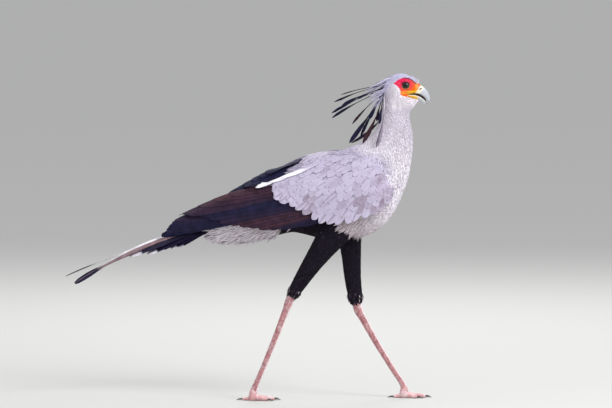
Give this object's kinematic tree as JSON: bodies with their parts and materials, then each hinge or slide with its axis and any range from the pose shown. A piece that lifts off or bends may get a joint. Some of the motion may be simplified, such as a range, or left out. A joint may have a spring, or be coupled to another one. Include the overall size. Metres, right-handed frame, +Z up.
{
  "type": "secretary bird",
  "caption": "Life-size still model of a long-legged ground bird of prey in mid stride, with a drooping crest and long tail.",
  "frame": {"origin": "on the ground, at the middle of the box around the bird", "axes": "+X the way the beak points, +Y towards the bird's left wing, +Z up from the soles"},
  "size_m": [1.1018, 0.2232, 0.9812],
  "materials": {
    "plumage_grey": "matt",
    "plumage_white": "matt",
    "flight_black": "silky",
    "leg_black": "matt",
    "tarsus_pink": "scaly",
    "claw_dark": "satin",
    "bill_horn": "satin",
    "bill_yellow": "satin",
    "eye": "wet gloss"
  },
  "bodies": {
    "root": {"torso": "plumage_white", "neck": "plumage_white", "head": "plumage_white", "eye_right": "eye", "eye_left": "eye", "bill_upper": "bill_horn", "bill_lower": "bill_yellow", "tail": "flight_black", "wing_right": "plumage_grey", "wing_left": "plumage_grey", "thigh_right": "leg_black", "thigh_left": "leg_black", "shin_right": "leg_black", "shin_left": "leg_black", "tarsus_right": "tarsus_pink", "tarsus_left": "tarsus_pink", "foot_right": "tarsus_pink", "foot_left": "tarsus_pink", "claw_right_middle": "claw_dark", "claw_right_inner": "claw_dark", "claw_right_outer": "claw_dark", "claw_right_hind": "claw_dark", "claw_left_middle": "claw_dark", "claw_left_inner": "claw_dark", "claw_left_outer": "claw_dark", "claw_left_hind": "claw_dark"}
  },
  "joints": []
}
